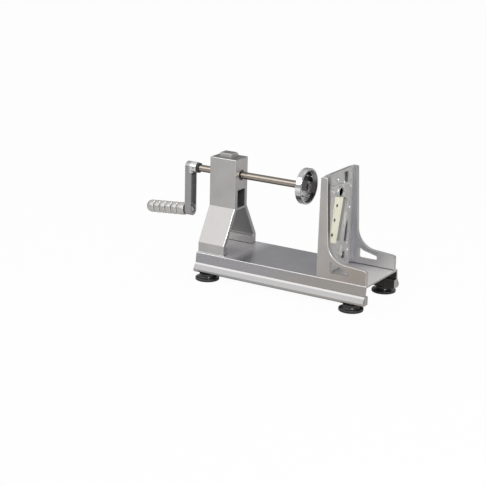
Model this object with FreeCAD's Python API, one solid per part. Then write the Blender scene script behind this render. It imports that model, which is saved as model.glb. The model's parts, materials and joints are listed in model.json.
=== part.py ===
import FreeCAD, Part
import math
import os

from FreeCAD import Vector

# Counter-top spiral cutter with a sliding crank shaft. X runs from the crank towards the blade plate,
# Y across the base and Z up from the surface that the feet stand on. The origin is under the middle of
# the overall length. Lengths are in millimetres.

# Base rail
rail_length = 380.0
rail_middle = 82.84
rail_top = 51.0
rail_half_width = 68.5
rail_plate = 4.0
rail_bottom = 12.5
toe_outer = 79.0
toe_inner = 57.0
toe_top = 30.0
toe_flare = 6.5
toe_side = 3.0
side_kink_half = 71.0
side_kink_drop = 20.0
side_inner_low = 66.0
side_inner_top = 64.3
rail_left = rail_middle - rail_length / 2
rail_right = rail_middle + rail_length / 2

# Feet
foot_offset_x = 162.0
foot_offset_y = 70.0
foot_radius = 24.0
foot_neck_radius = 15.0
foot_side = 4.4
foot_shoulder = 6.2
foot_shoulder_radius = 21.0
foot_dome = 8.6
foot_edge = 0.8
stud_radius = 4.0
stud_depth = 7.0

# Drive post
post_length = 60.0
post_half_width = 23.5
post_height = 188.4
leg_top = 88.7
leg_foot_half = 62.4
leg_foot_height = 19.8
leg_foot_thick = 16.0
leg_thick = 10.0
web_thick = 4.5
post_window_half = 13.5
post_window_top = 125.0
post_round = 1.4
arch_corner = 3.0
arch_knee = 1.0
post_screw_reach = 11.0
post_left = rail_left
post_right = post_left + post_length
post_middle = post_left + post_length / 2

# Raised block on the post
block_length = 27.0
block_half_width = 14.0
block_height = 9.0
block_bevel = 5.5
block_spigot_radius = 6.0
block_spigot_depth = 14.0
block_round = 0.8

# Shaft, its bushes and the ring beside the hub
shaft_height = 154.4
shaft_radius = 7.2
running_gap = 0.05
bush_outer = 11.0
bush_length = 16.0
bush_recess = 1.5
hub_gap = 43.5
hub_radius = 11.0
hub_length = 10.5
bumper_thick = 5.0
bumper_radius = 10.2

# Crank arm and grip
arm_thick = 15.0
arm_half_width = 11.0
crank_radius = 91.0
channel_half = 8.6
channel_depth = 10.0
channel_bottom_gap = 9.5
nut_recess_radius = 7.0
nut_recess_depth = 7.0
nut_across_flats = 11.0
nut_thick = 4.5
washer_thick = 2.0
washer_radius = 10.6
grip_lean = 4.8
grip_pad_radius = 9.4
grip_pad_rise = 0.85
grip_end_gap = 0.2
grip_first_ring = 17.0
grip_middle_rings = 4
grip_pitch = 14.35
grip_last_ring = 19.0
grip_groove = 11.5
grip_groove_half = 0.8
grip_ring_end = 12.4
grip_crest = 13.1
grip_tip_radius = 6.8
grip_bore_gap = 0.08
spindle_radius = 4.0
spindle_head_radius = 5.2
spindle_head_thick = 3.0
tip_recess_radius = 5.6
tip_recess_depth = 4.0
pin_radius = 2.0

# Food holder
holder_front = rail_left + 214.8
holder_depth = 12.9
holder_radius = 35.8
holder_wall = 3.6
holder_floor = 2.6
holder_bar_half = 10.0
holder_bar_tilt = -17.0
holder_boss_radius = 11.5
holder_boss_length = 6.0
holder_bar_gap = 1.4
prong_radius = 2.0
prong_offset_y = 9.0
prong_offset_z = 20.0

# Side brackets of the blade frame, with their places as lengths from the column's left edge
column_left = rail_left + 273.7
column_top = 195.4
column_lean = 1.4
column_top_left = 0.6
guide_width = 14.1
wall_outer = 65.6
wall_inner = 55.6
guide_inner = 52.5
gusset_end = 104.1
gusset_end_height = 27.6
elbow = (23.5, 34.3)
elbow_radius = 41.0
groove_left = column_left + 4.4
groove_right = column_left + 9.3
groove_reach = 57.7
plate_gap = 0.2
bracket_screw_reach = 8.0

# Blade plate, with Y across and height above the rail for the places of its details
plate_left = column_left + 2.3
plate_right = plate_left + 9.0
tongue_left = groove_left + plate_gap
tongue_right = groove_right - plate_gap
tongue_reach = groove_reach - plate_gap
plate_back_half = 52.2
plate_front_half = 43.0
plate_bottom = 1.0
plate_top = 196.5
plate_border = 3.6
web_recess = 1.2
web_right = plate_right - web_recess
ridge_width = 3.2
ridge_front = plate_right + 0.8
pocket_floor = plate_left + 3.0
pin_mark_radius = 2.4
core_inner = 7.8
core_outer = 9.8
core_left = column_left - 11.0
core_boss = 13.2

z_up = Vector(0, 0, 1)
x_right = Vector(1, 0, 0)
y_away = Vector(0, 1, 0)


def box(x0, x1, y0, y1, z0, z1):
    return Part.makeBox(x1 - x0, y1 - y0, z1 - z0, Vector(x0, y0, z0))


def rod_x(x0, x1, radius, y=0.0, z=0.0):
    return Part.makeCylinder(radius, x1 - x0, Vector(x0, y, z), x_right)


def rod_z(z0, z1, radius, x, y):
    return Part.makeCylinder(radius, z1 - z0, Vector(x, y, z0), z_up)


def prism_x(points, x0, x1):
    corners = [Vector(x0, y, z) for y, z in points]
    face = Part.Face(Part.makePolygon(corners + corners[:1]))
    return face.extrude(Vector(x1 - x0, 0, 0))


def prism_y(points, y0, y1):
    corners = [Vector(x, y0, z) for x, z in points]
    face = Part.Face(Part.makePolygon(corners + corners[:1]))
    return face.extrude(Vector(0, y1 - y0, 0))


def join(shapes):
    return shapes[0].fuse(shapes[1:]).removeSplitter()


def cut(shape, tools):
    return shape.cut(tools).removeSplitter()


def mirror_y(shape):
    return shape.mirror(Vector(0, 0, 0), Vector(0, 1, 0))


def round_edges(shape, radius, wanted):
    edges = [edge for edge in shape.Edges if wanted(edge)]
    return shape.makeFillet(radius, edges)


def along(edge, direction):
    if edge.Curve.TypeId != "Part::GeomLine":
        return False
    run = edge.Vertexes[-1].Point - edge.Vertexes[0].Point
    return abs(run.normalize().dot(direction)) > 0.999


def save(name, shape):
    shape.exportStep(f"parts/{name}.step")
    limits = shape.BoundBox
    volume = shape.Volume / 1000
    print(f"{name:20s} solids {len(shape.Solids)} valid {shape.isValid()} volume {volume:8.2f} cm3")
    print(f"    x {limits.XMin:.2f} to {limits.XMax:.2f}, y {limits.YMin:.2f} to {limits.YMax:.2f}, "
          f"z {limits.ZMin:.2f} to {limits.ZMax:.2f}")


def above_rail(height):
    return rail_top + height


shaft_z = above_rail(shaft_height)
grip_z = shaft_z - crank_radius
post_screw_places = [(post_left + x, side * 54.4) for x in (12.0, post_length - 12.0) for side in (-1, 1)]
post_screw_radius = 3.0
bracket_screw_places = [(column_left + x, side * 60.6) for x in (7.6, 50.0, 92.0) for side in (-1, 1)]
bracket_screw_radius = 1.8
foot_places = {
    "front_left_foot": (rail_middle - foot_offset_x, -foot_offset_y),
    "front_right_foot": (rail_middle + foot_offset_x, -foot_offset_y),
    "rear_left_foot": (rail_middle - foot_offset_x, foot_offset_y),
    "rear_right_foot": (rail_middle + foot_offset_x, foot_offset_y),
}


# Channel section with thin walls that widen into solid toes, extruded over the whole length
def make_rail():
    half = [
        (0.0, rail_top),
        (rail_half_width, rail_top),
        (side_kink_half, rail_top - side_kink_drop),
        (toe_outer, rail_bottom + toe_flare),
        (toe_outer, rail_bottom + toe_side),
        (toe_outer - toe_side, rail_bottom),
        (toe_inner, rail_bottom),
        (toe_inner, toe_top - 1.5),
        (side_inner_low, toe_top + 3.0),
        (side_inner_top, rail_top - rail_plate),
        (0.0, rail_top - rail_plate),
    ]
    side = prism_x(half, rail_left, rail_right)
    rail = join([side, mirror_y(side)])
    top_corner = rail_half_width - 0.1
    rail = round_edges(rail, 1.2, lambda edge: along(edge, x_right)
                       and abs(edge.CenterOfMass.y) > top_corner
                       and edge.CenterOfMass.z > rail_top - 0.1)
    rail = round_edges(rail, 5.0, lambda edge: along(edge, x_right)
                       and abs(abs(edge.CenterOfMass.y) - side_kink_half) < 0.1)
    holes = [rod_z(rail_top - 10, rail_top + 1, post_screw_radius, x, y) for x, y in post_screw_places]
    holes += [rod_z(rail_top - 10, rail_top + 1, bracket_screw_radius, x, y) for x, y in bracket_screw_places]
    holes += [rod_z(rail_bottom - 1, rail_bottom + stud_depth, stud_radius, x, y)
              for x, y in foot_places.values()]
    return cut(rail, holes)


# Post with a solid head round the bore, a through window under it and two splayed legs
def make_post():
    leg_inner_top = post_half_width - leg_thick
    outline = [
        (-post_half_width, above_rail(post_height)),
        (post_half_width, above_rail(post_height)),
        (post_half_width, above_rail(leg_top)),
        (leg_foot_half, above_rail(leg_foot_height)),
        (leg_foot_half, rail_top),
        (-leg_foot_half, rail_top),
        (-leg_foot_half, above_rail(leg_foot_height)),
        (-post_half_width, above_rail(leg_top)),
    ]
    post = prism_x(outline, post_left, post_right)
    post = round_edges(post, post_round, lambda edge: edge.CenterOfMass.z > rail_top + 1.0)
    leg_inner_foot = leg_foot_half - leg_thick
    foot_inner = leg_foot_half - leg_foot_thick
    arch_top = above_rail(leg_top - web_thick)
    arch = [
        (-foot_inner, rail_top - 1),
        (-foot_inner, above_rail(leg_foot_height - 4.0)),
        (-leg_inner_foot, above_rail(leg_foot_height - arch_knee)),
        (-leg_inner_top - arch_corner, arch_top),
        (leg_inner_top + arch_corner, arch_top),
        (leg_inner_foot, above_rail(leg_foot_height - arch_knee)),
        (foot_inner, above_rail(leg_foot_height - 4.0)),
        (foot_inner, rail_top - 1),
    ]
    window = box(post_left - 1, post_right + 1, -post_window_half, post_window_half,
                 above_rail(leg_top), above_rail(post_window_top))
    bore = rod_x(post_left - 1, post_right + 1, bush_outer, 0.0, shaft_z)
    tools = [prism_x(arch, post_left - 1, post_right + 1), window, bore]
    tools += [rod_z(rail_top - 1, rail_top + post_screw_reach + 1, post_screw_radius, x, y)
              for x, y in post_screw_places]
    tools.append(rod_z(above_rail(post_height - block_spigot_depth), above_rail(post_height) + 1,
                       block_spigot_radius, post_middle, 0.0))
    return cut(post, tools)


# Square block on the post's top, with sloped far edges and a spigot that locates it
def make_block():
    left = post_middle - block_length / 2
    right = post_middle + block_length / 2
    low = above_rail(post_height)
    high = low + block_height
    block = box(left, right, -block_half_width, block_half_width, low, high)
    rear = [edge for edge in block.Edges
            if edge.CenterOfMass.z > high - 0.1 and edge.CenterOfMass.y > block_half_width - 0.1]
    block = block.makeChamfer(block_bevel, rear)
    block = round_edges(block, block_round, lambda edge: edge.CenterOfMass.z > low + 0.5)
    return join([block, rod_z(low - block_spigot_depth + 0.5, low, block_spigot_radius, post_middle, 0.0)])


def make_bush(outer_end, inner_end):
    low = min(outer_end, inner_end)
    high = max(outer_end, inner_end)
    return cut(rod_x(low, high, bush_outer, 0.0, shaft_z),
               [rod_x(low - 1, high + 1, shaft_radius + running_gap, 0.0, shaft_z)])


# Pan-head screw that points up, with its head under the rail's plate
def make_screw(x, y, radius, head_radius, reach):
    under = rail_top - rail_plate
    head = rod_z(under - 3.0, under, head_radius, x, y)
    socket = rod_z(under - 3.5, under - 1.2, radius * 0.8, x, y)
    return cut(join([head, rod_z(under, rail_top + reach, radius, x, y)]), [socket])


# Suction foot: upright side, sloped shoulder, dome and a wide neck up to the toe
def make_foot(x, y):
    profile = [
        (0.0, 0.0),
        (foot_radius - foot_edge, 0.0),
        (foot_radius, foot_edge),
        (foot_radius, foot_side),
        (foot_radius - foot_edge, foot_side + foot_edge),
        (foot_shoulder_radius, foot_shoulder),
        (foot_neck_radius + foot_edge, foot_dome),
        (foot_neck_radius, foot_dome + foot_edge),
        (foot_neck_radius, rail_bottom),
        (0.0, rail_bottom),
    ]
    corners = [Vector(radius, 0, height) for radius, height in profile]
    face = Part.Face(Part.makePolygon(corners + corners[:1]))
    foot = face.revolve(Vector(0, 0, 0), z_up, 360)
    foot.translate(Vector(x, y, 0))
    return cut(foot, [rod_z(rail_bottom - stud_depth, rail_bottom + 1, stud_radius, x, y)])


# Slab of a side bracket, from lengths beside the column's left edge and heights above the rail
def bracket_slab(points, y0, y1):
    return prism_y([(column_left + x, above_rail(height)) for x, height in points], y0, y1)


def at_corner(edge, x, height):
    middle = edge.CenterOfMass
    away = math.hypot(middle.x - column_left - x, middle.z - above_rail(height))
    return along(edge, y_away) and away < 0.5


# One side bracket: an upright wall that sweeps down into a low gusset with a window, and the guide block
def make_bracket(side):
    wall = bracket_slab([
        (-column_lean, 0.0),
        (column_top_left, column_top),
        (guide_width, column_top),
        (18.5, 110.0),
        (20.5, 70.0),
        elbow,
        (98.0, 28.7),
        (gusset_end, gusset_end_height),
        (gusset_end, 0.0),
    ], wall_inner, wall_outer)
    wall = round_edges(wall, elbow_radius, lambda edge: at_corner(edge, *elbow))
    wall = round_edges(wall, 3.0, lambda edge: at_corner(edge, column_top_left, column_top)
                       or at_corner(edge, guide_width, column_top))
    wall = round_edges(wall, 5.0, lambda edge: at_corner(edge, gusset_end, gusset_end_height))
    wall = round_edges(wall, 1.0, lambda edge: edge.CenterOfMass.y > wall_outer - 0.1
                       and edge.CenterOfMass.z > rail_top + 1.0)
    guide = bracket_slab([
        (-column_lean, 0.0),
        (column_top_left, column_top),
        (guide_width, column_top),
        (guide_width, 0.0),
    ], guide_inner, wall_inner)
    guide = round_edges(guide, 3.0, lambda edge: at_corner(edge, column_top_left, column_top)
                        or at_corner(edge, guide_width, column_top))
    window = bracket_slab([
        (25.5, 13.2),
        (27.5, 11.2),
        (64.5, 11.2),
        (66.5, 13.2),
        (66.5, 20.4),
        (64.5, 22.2),
        (51.6, 25.0),
        (36.7, 28.5),
        (28.5, 34.0),
        (25.5, 33.5),
    ], wall_inner - 1, wall_outer + 1)
    groove = box(groove_left, groove_right, guide_inner - 1, groove_reach,
                 above_rail(plate_bottom), above_rail(column_top) + 1)
    tools = [window, groove]
    tools += [rod_z(rail_top - 1, rail_top + bracket_screw_reach + 1, bracket_screw_radius, x, y)
              for x, y in bracket_screw_places if y > 0]
    bracket = cut(join([wall, guide]), tools)
    if side < 0:
        return mirror_y(bracket)
    return bracket


# Shaft with a cross hole for the crank pin and a tapped end for the holder's screw
hub_right = post_left - hub_gap
arm_right = hub_right - hub_length
arm_left = arm_right - arm_thick
shaft_left = arm_left + 3.0
hub_pin_length = 40.0
holder_back = holder_front - holder_depth
bar_front = holder_front - holder_bar_gap
shaft_right = bar_front - 4.5
pin_x = arm_right + 4.5
holder_screw_radius = 3.0
holder_screw_depth = 16.0


def cross_pin(length):
    return Part.makeCylinder(pin_radius, length, Vector(pin_x, -length / 2, shaft_z), y_away)


def make_shaft():
    shaft = rod_x(shaft_left, shaft_right, shaft_radius, 0.0, shaft_z)
    shaft = shaft.makeChamfer(0.8, [edge for edge in shaft.Edges if edge.CenterOfMass.x > shaft_right - 0.1])
    screw_hole = rod_x(shaft_right - holder_screw_depth, shaft_right + 1, holder_screw_radius, 0.0, shaft_z)
    return cut(shaft, [cross_pin(hub_pin_length), screw_hole])


# The grip and what holds it lean with the tip down
def lean(shape):
    leaned = shape.copy()
    leaned.rotate(Vector(arm_left, 0, grip_z), y_away, -grip_lean)
    return leaned


# Arm with round ends, a hub, a pad square to the grip, and a deep channel in the face that looks at the post
def make_arm():
    slab = box(arm_left, arm_right, -arm_half_width, arm_half_width, grip_z, shaft_z)
    ends = [rod_x(arm_left, arm_right, arm_half_width, 0.0, z) for z in (grip_z, shaft_z)]
    arm = join([slab] + ends)
    arm = round_edges(arm, 1.5, lambda edge: abs(edge.CenterOfMass.x - arm_left) < 0.1)
    hub = rod_x(arm_right - 1, hub_right, hub_radius, 0.0, shaft_z)
    pad = lean(rod_x(arm_left - grip_pad_rise, arm_left + 3.0, grip_pad_radius, 0.0, grip_z))
    channel = box(arm_right - channel_depth, arm_right + 1, -channel_half, channel_half,
                  grip_z + channel_bottom_gap, shaft_z - hub_radius - 0.5)
    channel = round_edges(channel, 2.0, lambda edge: along(edge, x_right))
    tools = [
        channel,
        rod_x(shaft_left, hub_right + 1, shaft_radius, 0.0, shaft_z),
        cross_pin(hub_pin_length),
        lean(rod_x(arm_left - 5, arm_right + 5, spindle_radius, 0.0, grip_z)),
        lean(rod_x(arm_right - nut_recess_depth, arm_right + 5, nut_recess_radius, 0.0, grip_z)),
    ]
    return cut(join([arm, hub, pad]), tools)


def make_pin():
    return cross_pin(2 * hub_radius - 0.8)


def make_bumper():
    ring = rod_x(hub_right + 0.1, hub_right + 0.1 + bumper_thick, bumper_radius, 0.0, shaft_z)
    ring = ring.makeFillet(1.2, ring.Edges)
    return cut(ring, [rod_x(hub_right - 1, post_left, shaft_radius + running_gap, 0.0, shaft_z)])


# Grip of shallow rings with narrow grooves and a rounded tip, bored for the spindle and recessed for its head
washer_left = arm_left - grip_pad_rise - washer_thick
grip_right = washer_left - grip_end_gap
grip_left = grip_right - grip_first_ring - grip_middle_rings * grip_pitch - grip_last_ring


def make_grip():
    def point(x, radius):
        return Vector(x, 0, grip_z + radius)

    def line(start, end):
        edges.append(Part.makeLine(start, end))
        return end

    def arc(start, middle, end):
        edges.append(Part.Arc(start, middle, end).toShape())
        return end

    edges = []
    right = grip_right
    last = line(point(right, 0), point(right, grip_ring_end))
    for length in [grip_first_ring] + [grip_pitch] * grip_middle_rings:
        left = right - length
        last = arc(last, point((left + right) / 2, grip_crest), point(left + grip_groove_half, grip_ring_end))
        last = line(last, point(left, grip_groove))
        last = line(last, point(left - grip_groove_half, grip_ring_end))
        right = left
    nose = grip_left + 11.0
    last = arc(last, point((right + nose) / 2, grip_crest), point(nose, grip_crest - 0.3))
    last = arc(last, point(grip_left + 5.0, grip_crest - 2.3), point(grip_left, grip_tip_radius))
    last = line(last, point(grip_left, 0))
    line(last, point(grip_right, 0))
    grip = Part.Face(Part.Wire(edges)).revolve(Vector(0, 0, grip_z), x_right, 360)
    bore = rod_x(grip_left - 1, grip_right + 1, spindle_radius + grip_bore_gap, 0.0, grip_z)
    recess = rod_x(grip_left - 1, grip_left + tip_recess_depth, tip_recess_radius, 0.0, grip_z)
    return lean(cut(grip, [bore, recess]))


def make_spindle():
    head_right = grip_left + tip_recess_depth - 0.2
    head = rod_x(head_right - spindle_head_thick, head_right, spindle_head_radius, 0.0, grip_z)
    head = head.makeFillet(0.8, [edge for edge in head.Edges if edge.CenterOfMass.x < head_right - 1])
    nut_right = arm_right - nut_recess_depth + nut_thick
    return lean(join([head, rod_x(head_right, nut_right + 1.2, spindle_radius, 0.0, grip_z)]))


def make_nut():
    left = arm_right - nut_recess_depth
    corner = nut_across_flats / math.sqrt(3)
    points = [(corner * math.cos(math.radians(60 * i)), grip_z + corner * math.sin(math.radians(60 * i)))
              for i in range(6)]
    hole = rod_x(left - 1, left + 10, spindle_radius, 0.0, grip_z)
    return lean(cut(prism_x(points, left, left + nut_thick), [hole]))


def make_grip_washer():
    ring = rod_x(washer_left, washer_left + washer_thick, washer_radius, 0.0, grip_z)
    return lean(cut(ring, [rod_x(arm_left - 10, arm_left + 1, spindle_radius, 0.0, grip_z)]))


def tilt(shape):
    turned = shape.copy()
    turned.rotate(Vector(0, 0, shaft_z), x_right, holder_bar_tilt)
    return turned


prong_places = [(side * prong_offset_y, row * prong_offset_z) for side in (-1, 1) for row in (-1, 1)]


# Shallow cup with a cross bar, a floor and a boss behind it for the shaft
def make_holder():
    cup = rod_x(holder_back, holder_front, holder_radius, 0.0, shaft_z)
    cup = round_edges(cup, 1.6, lambda edge: abs(edge.CenterOfMass.x - holder_back) < 0.1
                      or edge.CenterOfMass.x > holder_front - 0.1)
    inside = rod_x(holder_back + holder_floor, holder_front + 1, holder_radius - holder_wall, 0.0, shaft_z)
    inside = inside.makeFillet(1.2, [edge for edge in inside.Edges if edge.CenterOfMass.x < holder_front - 2])
    cup = cup.cut(inside)
    inner = holder_radius - holder_wall + 1.0
    bar = box(holder_back, bar_front, -inner, inner, shaft_z - holder_bar_half, shaft_z + holder_bar_half)
    bar = bar.common(rod_x(holder_back, bar_front, inner, 0.0, shaft_z))
    boss = rod_x(holder_back - holder_boss_length, holder_back + 1, holder_boss_radius, 0.0, shaft_z)
    boss = boss.makeFillet(1.0, [edge for edge in boss.Edges if edge.CenterOfMass.x < holder_back - 2])
    body = join([cup, tilt(bar), boss])
    tools = [
        rod_x(holder_back - 20, shaft_right, shaft_radius, 0.0, shaft_z),
        rod_x(shaft_right - 1, bar_front + 1, holder_screw_radius, 0.0, shaft_z),
    ]
    tools += [tilt(rod_x(holder_back - 1, holder_back + holder_floor + 1, prong_radius, y, shaft_z + z))
              for y, z in prong_places]
    return cut(body, tools)


# Pointed pins riveted through the cup's floor
def make_prongs():
    prongs = []
    for y, z in prong_places:
        shank = rod_x(holder_back, holder_front - 4.5, prong_radius, y, shaft_z + z)
        point = Part.makeCone(prong_radius, 0.3, 4.0, Vector(holder_front - 4.5, y, shaft_z + z), x_right)
        prongs.append(tilt(join([shank, point])))
    return Part.Compound(prongs)


def make_holder_screw():
    head = rod_x(bar_front, bar_front + 2.4, 6.0, 0.0, shaft_z)
    head = head.makeFillet(0.9, [edge for edge in head.Edges if edge.CenterOfMass.x > bar_front + 2])
    socket = rod_x(bar_front + 0.8, bar_front + 3.0, 2.4, 0.0, shaft_z)
    shank = rod_x(shaft_right - holder_screw_depth + 1, bar_front, holder_screw_radius, 0.0, shaft_z)
    return cut(join([head, shank]), [socket])


# Places on the blade plate are given as Y across and height above the rail
strip_outline = [(-21.5, 149.5), (6.3, 143.0), (-17.0, 55.7), (-39.0, 62.8)]
strip_thick = 2.8
strip_screw_places = [(-19.1, 131.9), (-26.9, 105.0), (-34.5, 77.0)]
strip_screw_radius = 1.6
strip_screw_head = 2.9
strip_direction = math.degrees(math.atan2(23.0, 87.5))
blade_length = 84.0
blade_start_y = 8.4
blade_start_height = 141.8
slot_width = 15.0
slot_clear = 7.5
slot_throat = 9.0
throat_depth = 1.0
ramp_width = 17.0
flange_width = 9.0
blade_thick = 1.4
blade_rise = 2.6
blade_screw_radius = 1.5
blade_screw_offset = slot_width + 4.5
blade_screw_rows = (-12.0, 12.0 - blade_length)
comb_thick = 1.2
comb_reach = 5.0
tooth_pitch = 6.0
tooth_count = 13
upper_pocket = [(11.6, 191.6), (27.3, 190.6), (28.4, 168.4), (15.2, 171.2)]
side_pocket = [(31.4, 93.6), (34.8, 83.0), (33.4, 61.9), (31.6, 48.4), (21.2, 50.4), (25.3, 75.8)]
lower_pocket = [(24.6, 31.8), (18.4, 29.8), (12.2, 19.2), (26.4, 15.0), (27.6, 27.4)]
cross_ridge = [(-37.0, 170.2), (-8.0, 170.2), (28.0, 166.1), (38.0, 159.7)]
side_ridge = [(12.0, 146.6), (25.8, 134.5), (25.6, 110.0), (18.2, 85.7), (13.9, 66.5), (12.2, 46.1),
              (8.5, 33.2)]
branch_ridge = [(12.0, 40.0), (31.5, 45.5), (38.0, 46.5)]
low_ridge = [(-4.0, 32.7), (4.0, 31.4), (10.6, 27.6)]
corner_ridge = [(-19.4, 33.0), (-7.7, 24.1)]
pin_marks = [(-14.1, 181.6), (-30.6, 160.7), (36.6, 116.4), (35.4, 30.6)]


# A shape drawn at the slot's upper end, with Y across the slot and Z along it, turned to the slot's slope
def beside_slot(shape):
    placed = shape.copy()
    placed.rotate(Vector(0, 0, 0), x_right, -strip_direction)
    placed.translate(Vector(0, blade_start_y, above_rail(blade_start_height)))
    return placed


def panel(points, x0, x1):
    return prism_x([(y, above_rail(height)) for y, height in points], x0, x1)


def rib(start, end):
    run_y = end[0] - start[0]
    run_z = end[1] - start[1]
    length = math.hypot(run_y, run_z)
    side_y = -run_z / length * ridge_width / 2
    side_z = run_y / length * ridge_width / 2
    corners = [(start[0] + side_y, start[1] + side_z), (end[0] + side_y, end[1] + side_z),
               (end[0] - side_y, end[1] - side_z), (start[0] - side_y, start[1] - side_z)]
    return panel(corners, web_right - 1, ridge_front)


# Straight ribs in a row with a round post at each bend
def ridge(points):
    radius = ridge_width / 2 + 0.15
    posts = [rod_x(web_right - 1, ridge_front, radius, y, above_rail(height)) for y, height in points]
    return posts + [rib(start, end) for start, end in zip(points, points[1:])]


def oblong(half, low, high):
    return [(-half, low), (half, low), (half, high), (-half, high)]


# Plate with tongues at its sides, a raised front with a border and ribs, and the slot for the strands
def make_plate():
    plate = join([
        panel(oblong(plate_back_half, plate_bottom, plate_top), plate_left, tongue_right),
        panel(oblong(tongue_reach, plate_bottom, plate_top), tongue_left, tongue_right),
        panel(oblong(plate_front_half, plate_bottom, plate_top), plate_left + 1, plate_right),
    ])
    recess = oblong(plate_front_half - plate_border, plate_bottom + plate_border, plate_top - plate_border)
    plate = cut(plate, [panel(recess, web_right, plate_right + 1)])
    raised = [rod_x(web_right - 1, ridge_front, core_boss, 0.0, shaft_z)]
    for points in (cross_ridge, side_ridge, branch_ridge, low_ridge, corner_ridge):
        raised += ridge(points)
    raised += [rod_x(web_right - 1, plate_right, pin_mark_radius, y, above_rail(height))
               for y, height in pin_marks]
    plate = join([plate] + raised)
    ramp_section = [
        (plate_left - 1, 0.0),
        (plate_left - 1, slot_throat),
        (plate_left + throat_depth, slot_throat),
        (web_right, ramp_width),
        (plate_right + 5, ramp_width),
        (plate_right + 5, 0.0),
    ]
    corners = [Vector(x, y, -blade_length) for x, y in ramp_section]
    ramp = Part.Face(Part.makePolygon(corners + corners[:1])).extrude(Vector(0, 0, blade_length))
    tools = [panel(points, pocket_floor, plate_right + 5)
             for points in (upper_pocket, side_pocket, lower_pocket)]
    tools += [
        beside_slot(ramp),
        rod_x(plate_left - 1, plate_right + 5, core_outer, 0.0, shaft_z),
        panel(strip_outline, web_right, plate_right + 5),
    ]
    tools += [rod_x(plate_left - 1, web_right + 1, strip_screw_radius, y, above_rail(height))
              for y, height in strip_screw_places]
    tools += [beside_slot(rod_x(plate_left - 1, plate_left + 3.2, blade_screw_radius, blade_screw_offset, z))
              for z in blade_screw_rows]
    return cut(plate, tools)


def make_strip():
    strip = panel(strip_outline, web_right, web_right + strip_thick)
    holes = [rod_x(web_right - 1, web_right + 10, strip_screw_radius, y, above_rail(height))
             for y, height in strip_screw_places]
    seat = web_right + strip_thick - 0.6
    sinks = [rod_x(seat, web_right + 10, strip_screw_head + 0.3, y, above_rail(height))
             for y, height in strip_screw_places]
    return cut(strip, holes + sinks)


def make_strip_screws():
    screws = []
    for y, height in strip_screw_places:
        z = above_rail(height)
        front = web_right + strip_thick - 0.6
        head = rod_x(front, front + 1.3, strip_screw_head, y, z)
        shank = rod_x(plate_left - comb_thick, front, strip_screw_radius, y, z)
        slot = box(front + 0.6, front + 2.0, y - 0.5, y + 0.5, z - 4.0, z + 4.0)
        slot.rotate(Vector(front, y, z), x_right, -strip_direction)
        screws.append(cut(join([head, shank]), [slot]))
    return Part.Compound(screws)


# Blade with a flat flange and a raised cutting part, drawn as its section and run along the slot
def make_blade():
    flange_left = slot_width + flange_width
    bend = slot_width
    edge = slot_clear
    section = [(0.0, flange_left), (0.0, bend), (-blade_rise, edge), (-blade_rise - 0.4, edge),
               (-blade_thick, bend), (-blade_thick, flange_left)]
    corners = [Vector(plate_left + x, y, -blade_length) for x, y in section]
    face = Part.Face(Part.makePolygon(corners + corners[:1]))
    blade = face.extrude(Vector(0, 0, blade_length))
    holes = [rod_x(plate_left - 5, plate_left + 1, blade_screw_radius, blade_screw_offset, z)
             for z in blade_screw_rows]
    return beside_slot(cut(blade, holes))


def make_blade_screws():
    screws = []
    left = plate_left - blade_thick
    y = blade_screw_offset
    for z in blade_screw_rows:
        head = rod_x(left - 1.4, left, 2.8, y, z)
        slot = box(left - 2.0, left - 0.8, y - 0.4, y + 0.4, z - 4.0, z + 4.0)
        shank = rod_x(left, plate_left + 3.0, blade_screw_radius, y, z)
        screws.append(beside_slot(cut(join([head, shank]), [slot])))
    return Part.Compound(screws)


# Plate on the entry side with a row of pointed lancets beside the blade's edge, held by the strip's screws
def make_comb():
    comb_left = plate_left - comb_thick
    pieces = [box(comb_left, plate_left, -31.0, -2.0, -blade_length, -2.0)]
    for i in range(tooth_count):
        z = -6.0 - i * tooth_pitch
        tooth = prism_y([(comb_left + 0.2, z - 0.4), (comb_left + 0.2, z + 0.4),
                         (comb_left - comb_reach, z + 0.15), (comb_left - comb_reach, z - 0.15)], -6.5, -3.0)
        pieces.append(tooth)
    holes = [rod_x(comb_left - 1, plate_left + 1, strip_screw_radius, y, above_rail(height))
             for y, height in strip_screw_places]
    return cut(beside_slot(join(pieces)), holes)


def make_core_tube():
    tube = rod_x(core_left, web_right, core_outer, 0.0, shaft_z)
    tube = cut(tube, [rod_x(core_left - 1, web_right + 1, core_inner, 0.0, shaft_z)])
    return tube.makeChamfer(1.8, [edge for edge in tube.Edges
                                  if edge.BoundBox.XMax < core_left + 0.1
                                  and edge.BoundBox.ZLength > 2 * core_outer - 0.1])


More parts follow.
